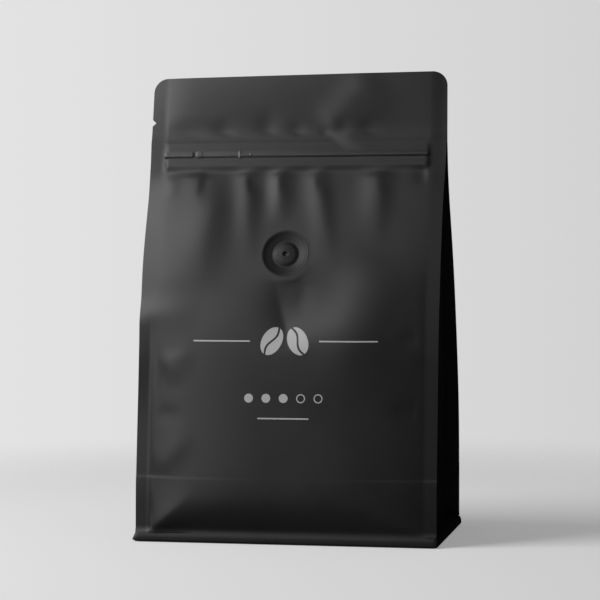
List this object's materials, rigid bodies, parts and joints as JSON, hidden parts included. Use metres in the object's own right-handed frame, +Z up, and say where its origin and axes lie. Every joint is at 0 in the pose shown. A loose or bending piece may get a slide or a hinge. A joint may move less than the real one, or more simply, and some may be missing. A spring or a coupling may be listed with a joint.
{
  "type": "stand-up coffee pouch",
  "caption": "Flat-bottom stand-up pouch of matte black film for coffee, with folded side gussets, side seals, a zip band with tear strip below a flat header, and a round degassing valve.",
  "frame": {"origin": "middle of the base, on the surface that the pouch stands on", "axes": "+Z up the pouch, +X to the right of someone facing the front panel, +Y from front to back"},
  "size_m": [0.1324, 0.0801, 0.201],
  "materials": {
    "film": "matte black laminated film with a soft sheen",
    "valve": "satin black moulded plastic under film",
    "strip": "satin black plastic tape"
  },
  "bodies": {
    "root": {"pouch": "film", "degassing_valve": "valve", "tear_strip": "strip", "pull_tab": "strip"}
  },
  "joints": []
}
